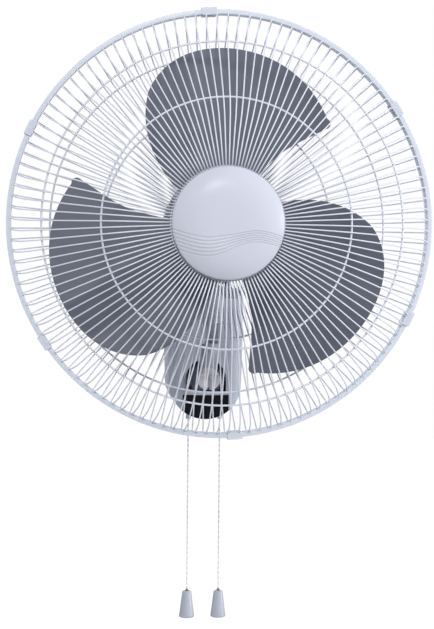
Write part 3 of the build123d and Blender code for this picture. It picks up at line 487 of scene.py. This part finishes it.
def spoke_cage(title, path):
    """All spokes of one guard: a round section drawn along the path, copied round the axis.

    A point of the path is its radius, its place along the axis and a turn sideways in degrees.
    """
    form = bmesh.new()
    turns = [radians(180 / wire_count + lean) for _, _, lean in path]
    spots = [hub + Vector((r * cos(t), -z, r * sin(t))) for (r, z, _), t in zip(path, turns)]
    ways = [(b - a).normalized() for a, b in zip(spots, spots[1:])]
    side = Vector((-sin(turns[0]), 0, cos(turns[0])))
    ring = bmesh.ops.create_circle(form, segments=wire_sides, radius=wire_radius)["verts"]
    stand = None
    for spot, before, after in zip(spots, ways[:1] + ways, ways + ways[-1:]):
        way = (before + after).normalized()
        across = (side - way * side.dot(way)).normalized()
        facing = Matrix((across, way.cross(across), way)).transposed().to_4x4()
        here = Matrix.Translation(spot) @ facing
        if stand is None:
            bmesh.ops.transform(form, matrix=here, verts=ring)
        else:
            edges = [e for e in form.edges if all(v in ring for v in e.verts)]
            grown = bmesh.ops.extrude_edge_only(form, edges=edges)["geom"]
            ring = [part for part in grown if isinstance(part, bmesh.types.BMVert)]
            bmesh.ops.transform(form, matrix=here @ stand.inverted(), verts=ring)
        stand = here
    ends = [e for e in form.edges if e.is_boundary]
    bmesh.ops.holes_fill(form, edges=ends, sides=wire_sides)
    bmesh.ops.recalc_face_normals(form, faces=form.faces)
    bmesh.ops.spin(
        form, geom=form.verts[:] + form.edges[:] + form.faces[:], cent=hub, axis=fan_axis,
        angle=2 * pi * (wire_count - 1) / wire_count, steps=wire_count - 1, use_duplicate=True,
    )
    mesh = mesh_from(form, title)
    mesh.shade_smooth()
    return shown(mesh, title, white_wire)


def welded_rings(title, rings):
    """The rings of one guard, each a small circle spun round the fan's axis.

    A ring is its radius and its place along the axis.
    """
    form = bmesh.new()
    for radius, z in rings:
        circle = bmesh.ops.create_circle(form, segments=8, radius=ring_wire_radius)["verts"]
        bmesh.ops.translate(form, vec=hub + Vector((radius, -z, 0)), verts=circle)
        edges = [e for e in form.edges if all(v in circle for v in e.verts)]
        bmesh.ops.spin(
            form, geom=circle + edges, cent=hub, axis=fan_axis, angle=2 * pi, steps=144,
            use_merge=True,
        )
    bmesh.ops.recalc_face_normals(form, faces=form.faces)
    mesh = mesh_from(form, title)
    mesh.shade_smooth()
    return shown(mesh, title, white_wire)


front_path = [
    (0.0515, 0.0620, 1.0), (0.080, 0.0630, 1.0), (0.108, 0.0636, 1.0), (0.121, 0.0610, 1.0),
    (0.134, 0.0548, 1.0), (0.165, 0.0390, 1.0), (0.190, 0.0263, 1.0), (0.200, 0.0208, 0.95),
    (0.2075, 0.0168, 0.9), (0.2135, 0.0115, 0.65), (0.2170, 0.0070, 0.35), (0.2190, 0.0034, 0.0),
]
rear_path = [
    (0.0485, -0.04725, 0), (0.130, -0.03866, 0), (0.176, -0.03384, 0), (0.1845, -0.0318, 0),
    (0.190, -0.0276, 0), (0.2085, -0.0111, 0), (0.2150, -0.0061, 0), (0.2190, -0.0034, 0),
]
for name, path, rings in (
    ("front", front_path, ((0.1857, 0.0264), (0.1263, 0.0562))),
    ("rear", rear_path, ((0.1778, -0.0319), (0.1213, -0.0378))),
):
    spokes = spoke_cage(name + "_spokes", path)
    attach(spokes, "head")
    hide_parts(name + "_guard_wires")
    welded = welded_rings(name + "_welded_rings", rings)
    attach(welded, "head")
    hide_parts(name + "_guard_rings")
    dressed(name + "_guard_plate", white_wire)

# ---- hoop and clips ----
# A channel of milky plastic closes over both rims, and six clips of the same plastic snap over
# it to hold it shut.
hoop_white = surface(
    "hoop_white", (0.72, 0.76, 0.84), 0.35, change=0.04, size=20, shine=0.2, cover=0.68
)
hoop_section = [
    (0.2169, -0.0065), (0.2209, -0.0065), (0.2215, -0.0062), (0.2217, -0.0056), (0.2217, 0.0056),
    (0.2215, 0.0062), (0.2209, 0.0065), (0.2169, 0.0065), (0.2169, 0.0053), (0.2205, 0.0053),
    (0.2205, -0.0053), (0.2169, -0.0053),
]
hoop = turned("hoop_channel", hoop_section, hub, fan_axis, 180, hoop_white, closed=True)
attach(hoop, "head")
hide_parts("guard_hoop")
dressed("guard_clips", hoop_white, bevel=0.0004)

# ---- front cap ----
# A shallow dome of glossy plastic snaps over the middle of the front guard. Fine parallel grooves
# run across its lower half in one long wave, closer together at the right.
cap_gloss = surface("cap_gloss", (0.575, 0.595, 0.675), 0.3, change=0.03, size=10, shine=0.1)
wave_length, wave_shift, wave_height = 0.100, -0.19, 0.0052
wave_drop = 0.0184
groove_pitch, pitch_change, pitch_slope = 0.0029, -0.0007, 90
grooves_each_way = 3.0


def wave_grooves(finish):
    """Engraved parallel waves: their height feeds a bump, and their floor is painted a little
    darker as painted shade.
    """
    tree = finish.node_tree
    node, link, count = tree.nodes.new, tree.links.new, sums(tree)
    shader = tree.nodes["Principled BSDF"]
    place, split = node("ShaderNodeTexCoord"), node("ShaderNodeSeparateXYZ")
    link(place.outputs["Object"], split.inputs[0])
    across, up = split.outputs["X"], split.outputs["Z"]
    swing = count("SINE", count("MULTIPLY_ADD", across, 2 * pi / wave_length, wave_shift))
    middle = count("MULTIPLY_ADD", swing, wave_height, hub.z - wave_drop)
    right = count("TANH", count("MULTIPLY", across, pitch_slope))
    pitch = count("MULTIPLY_ADD", right, pitch_change, groove_pitch)
    rank = count("DIVIDE", count("SUBTRACT", up, middle), pitch)
    beside = count("ABSOLUTE", count("SUBTRACT", count("FRACT", rank), 0.5))
    line = count("SMOOTH_MIN", count("MULTIPLY", beside, 3.0), 1.0, 0.6)
    inside = count("LESS_THAN", count("ABSOLUTE", rank), grooves_each_way)
    depth = count("SUBTRACT", 1.0, count("MULTIPLY", count("SUBTRACT", 1.0, line), inside))
    bump = node("ShaderNodeBump")
    bump.inputs["Strength"].default_value = 0.8
    bump.inputs["Distance"].default_value = 0.0005
    link(depth, bump.inputs["Height"])
    link(bump.outputs["Normal"], shader.inputs["Normal"])
    skin = next(n for n in tree.nodes if n.type == "GROUP")
    # painted shade: the groove floors are made up to a tenth darker
    groove_shade = node("ShaderNodeVectorMath")
    groove_shade.operation = "SCALE"
    link(skin.outputs["Tone"], groove_shade.inputs[0])
    link(count("MULTIPLY_ADD", depth, 0.10, 0.90), groove_shade.inputs["Scale"])
    link(groove_shade.outputs[0], shader.inputs["Base Color"])


wave_grooves(cap_gloss)
cap_back, cap_rim, cap_top = 0.06335, 0.06835, 0.07935
cap_radius, crown_radius = 0.0565, 0.0545
crown_steps, crown_power = 14, 4.2
cap_section = [(0, cap_top)]
for step in range(1, crown_steps + 1):
    r = crown_radius * step / crown_steps
    fall = (r / cap_radius) ** crown_power
    cap_section.append((r, cap_rim + (cap_top - cap_rim) * (1 - fall)))
cap_section += [
    (0.0556, 0.0690), (0.0562, 0.0683), (cap_radius, 0.0674), (cap_radius, 0.0639),
    (0.0559, cap_back), (0.0543, cap_back), (0.0543, 0.0674), (0.0300, 0.0728), (0.0080, 0.0748),
    (0.0080, 0.05705), (0, 0.05705),
]
cap = turned("cap_dome", cap_section, hub, fan_axis, 128, cap_gloss)
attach(cap, "head")
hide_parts("front_cap")

# ---- room ----
# A pale floor far below fades into a white surround, which only the camera and reflections see.
# One studio lamp stands at the right, one above the camera, and a weak one behind.
floor_half, floor_height = 9, -1.25
glow_least, glow_per_metre, glow_most = 0.45, 0.08, 0.70
form = bmesh.new()
bmesh.ops.create_grid(form, x_segments=1, y_segments=1, size=floor_half)
bmesh.ops.translate(form, vec=(0, 0, floor_height), verts=form.verts)
pale = bpy.data.materials.new("pale_floor")
pale.use_nodes = True
tree = pale.node_tree
count = sums(tree)
shader = tree.nodes["Principled BSDF"]
shader.inputs["Base Color"].default_value = (0.85, 0.85, 0.85, 1)
shader.inputs["Roughness"].default_value = 0.9
shader.inputs["Emission Color"].default_value = (1, 1, 1, 1)
ray, place = tree.nodes.new("ShaderNodeLightPath"), tree.nodes.new("ShaderNodeTexCoord")
reach = tree.nodes.new("ShaderNodeVectorMath")
reach.operation = "LENGTH"
tree.links.new(place.outputs["Object"], reach.inputs[0])
glow = count("MULTIPLY_ADD", reach.outputs["Value"], glow_per_metre, glow_least)
glow = count("MULTIPLY", ray.outputs["Is Camera Ray"], count("MINIMUM", glow, glow_most))
tree.links.new(glow, shader.inputs["Emission Strength"])
floor = shown(mesh_from(form, "floor"), "floor", pale)

room = bpy.data.worlds.new("room")
room.use_nodes = True
bpy.context.scene.world = room
tree = room.node_tree
count = sums(tree)
dim = tree.nodes["Background"]
dim.inputs["Color"].default_value = (0.90, 0.93, 1.0, 1)
dim.inputs["Strength"].default_value = 0.37
white = tree.nodes.new("ShaderNodeBackground")
white.inputs["Color"].default_value = (1, 1, 1, 1)
ray = tree.nodes.new("ShaderNodeLightPath")
seen = count("MAXIMUM", ray.outputs["Is Camera Ray"], ray.outputs["Is Transmission Ray"])
seen = count("MAXIMUM", seen, ray.outputs["Is Glossy Ray"])
choose = tree.nodes.new("ShaderNodeMixShader")
tree.links.new(seen, choose.inputs["Fac"])
tree.links.new(dim.outputs[0], choose.inputs[1])
tree.links.new(white.outputs[0], choose.inputs[2])
tree.links.new(choose.outputs[0], tree.nodes["World Output"].inputs["Surface"])


def lamp(title, place, aim, size, power):
    """A square studio lamp that faces a point."""
    light = bpy.data.lights.new(title, "AREA")
    light.shape = "SQUARE"
    light.size = size
    light.energy = power
    made = bpy.data.objects.new(title, light)
    made.location = place
    made.rotation_euler = (Vector(aim) - Vector(place)).to_track_quat("-Z", "Y").to_euler()
    bpy.context.scene.collection.objects.link(made)


lamp("key_lamp", (2.6, -0.75, 0.35), (0, -0.2, 0), 0.7, 40)
lamp("front_lamp", (-0.25, -2.4, 1.55), (0, -0.2, 0), 0.5, 45)
lamp("back_lamp", (0.3, 2.5, 1.1), (0, 0, 0), 0.9, 16)

bpy.context.scene.view_settings.view_transform = "Standard"
